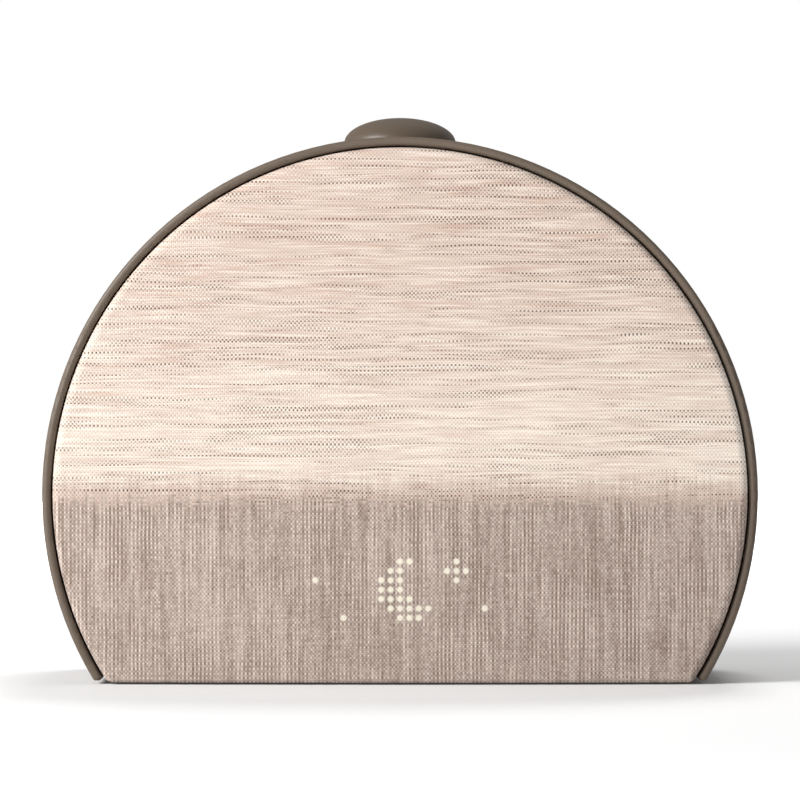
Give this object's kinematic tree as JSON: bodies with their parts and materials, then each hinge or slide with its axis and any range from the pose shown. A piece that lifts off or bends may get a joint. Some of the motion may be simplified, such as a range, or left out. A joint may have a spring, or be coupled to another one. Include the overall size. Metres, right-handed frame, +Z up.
{
  "type": "smart speaker",
  "caption": "Arch-shaped bedside smart speaker: woven fabric front with a light bar and a dot display behind it, a push button on the crown, and rear knobs.",
  "frame": {"origin": "centre of the bounding box in plan, at the underside of the foot", "axes": "+Z up, the fabric front faces -Y, +X to the right as seen from the front"},
  "size_m": [0.2032, 0.092, 0.1628],
  "materials": {
    "housing": "fine satin moulded plastic, taupe brown",
    "button": "soft satin moulded plastic, taupe brown",
    "knob": "satin moulded plastic, darker taupe",
    "fabric": "plain weave linen, warm off-white",
    "carrier": "plain moulded plastic",
    "opal": "opal light diffuser",
    "white_plastic": "white reflector",
    "black_plastic": "black moulded plastic",
    "black_metal": "black coated steel",
    "rubber": "soft rubber",
    "silicone": "translucent silicone",
    "foam": "closed-cell foam",
    "cone": "pressed paper pulp",
    "spider": "resin-soaked cloth",
    "copper": "enamelled copper winding",
    "ferrite": "sintered ferrite",
    "steel": "zinc-plated steel",
    "board": "glass-epoxy circuit board",
    "chip": "epoxy chip package",
    "capacitor": "sleeved aluminium can",
    "lamp": "lamp chip",
    "ribbon": "flat flexible cable",
    "wire": "insulated wire"
  },
  "bodies": {
    "housing": {"alarm_switch": "black_plastic", "amplifier_chip": "chip", "arch_shell": "housing", "back_cover": "housing", "baffle_screws": "steel", "base_foot": "rubber", "base_plate": "housing", "base_screws": "steel", "brightness_encoder": "black_plastic", "button_board": "board", "button_dome": "silicone", "button_ribbon": "ribbon", "button_screws": "steel", "capacitors": "capacitor", "control_ribbons": "ribbon", "cover_screws": "steel", "display_board": "board", "display_leds": "lamp", "display_mask": "black_plastic", "display_ribbon": "ribbon", "display_screws": "steel", "driver_basket": "black_metal", "driver_gasket": "foam", "driver_magnet": "ferrite", "driver_screws": "steel", "driver_spider": "spider", "driver_surround": "rubber", "driver_top_plate": "steel", "driver_yoke": "steel", "front_fabric": "fabric", "front_frame": "carrier", "front_screws": "steel", "light_bar_board": "board", "light_bar_leds": "lamp", "light_diffuser": "opal", "light_sensor": "chip", "light_tray": "white_plastic", "main_board": "board", "main_board_screws": "steel", "power_board": "board", "power_jack": "black_plastic", "power_screws": "steel", "power_wires": "wire", "processor_chip": "chip", "radio_module": "steel", "rear_grille": "black_metal", "speaker_baffle": "black_plastic", "speaker_box": "black_plastic", "speaker_wires": "wire", "volume_encoder": "black_plastic"},
    "button": {"top_button": "button", "button_clip": "steel"},
    "volume": {"volume_knob": "knob", "volume_shaft": "steel"},
    "brightness": {"brightness_knob": "knob", "brightness_shaft": "steel"},
    "alarm": {"alarm_slider": "knob"},
    "cone": {"driver_cone": "cone", "driver_dust_cap": "cone", "voice_coil": "copper"}
  },
  "joints": [
    {"name": "button_press", "type": "slide", "parent": "housing", "child": "button", "axis": [0, 0, -1], "range_m": [0, 0.0012], "stiffness_N_per_m": 500, "springref_m": -0.001, "deforming": ["button_dome"]},
    {"name": "volume_turn", "type": "hinge", "parent": "housing", "child": "volume", "pos_m": [0.066, 0.046, 0.078], "axis": [0, 1, 0], "continuous": true},
    {"name": "brightness_turn", "type": "hinge", "parent": "housing", "child": "brightness", "pos_m": [-0.066, 0.046, 0.078], "axis": [0, 1, 0], "continuous": true},
    {"name": "alarm_slide", "type": "slide", "parent": "housing", "child": "alarm", "axis": [1, 0, 0], "range_m": [0, 0.004]},
    {"name": "cone_travel", "type": "slide", "parent": "housing", "child": "cone", "axis": [0, 1, 0], "range_m": [-0.0015, 0.0015], "stiffness_N_per_m": 900, "deforming": ["driver_surround", "driver_spider"]}
  ]
}
